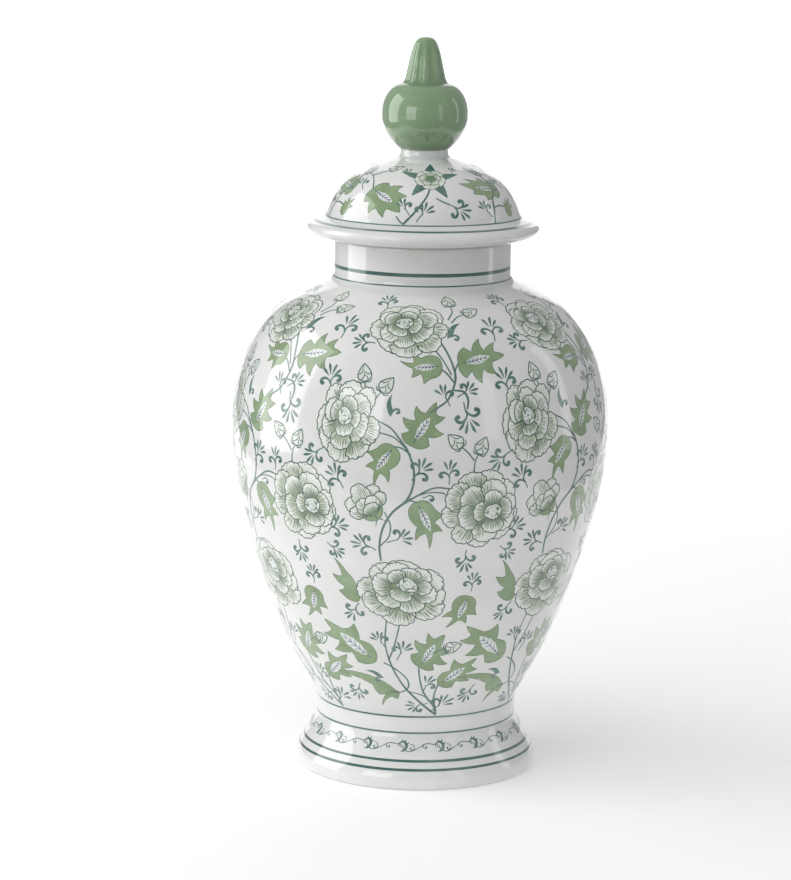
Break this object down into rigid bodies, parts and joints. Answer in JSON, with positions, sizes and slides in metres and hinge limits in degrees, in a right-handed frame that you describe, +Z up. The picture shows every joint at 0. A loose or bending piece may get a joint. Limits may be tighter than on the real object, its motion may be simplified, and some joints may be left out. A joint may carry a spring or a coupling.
{
  "type": "ginger jar",
  "caption": "Lidded baluster ginger jar: egg-shaped body on a flared foot, straight neck, lift-off domed lid with rolled flange, and a bulb finial with a pointed tip.",
  "frame": {"origin": "centre of the foot ring on the resting plane", "axes": "+Z up along the jar's axis of revolution; X and Y horizontal"},
  "size_m": [0.2082, 0.2082, 0.406],
  "materials": {
    "jar_glaze": "glossy clear glaze over underglaze painting",
    "lid_glaze": "glossy clear glaze over underglaze painting",
    "finial_glaze": "glossy sage green glaze",
    "underglaze_leaf": "sage green underglaze wash, glossy",
    "underglaze_line": "dark teal underglaze line, glossy",
    "underglaze_petal": "pale green washed petal, glossy",
    "underglaze_stripe": "teal painted band, glossy",
    "biscuit": "unglazed matt biscuit"
  },
  "bodies": {
    "jar": {"jar_body": "jar_glaze"},
    "lid": {"lid": "lid_glaze", "finial": "finial_glaze"}
  },
  "joints": [
    {"name": "lid_lift", "type": "slide", "parent": "jar", "child": "lid", "axis": [0, 0, 1], "range_m": [0, 0.15]}
  ]
}
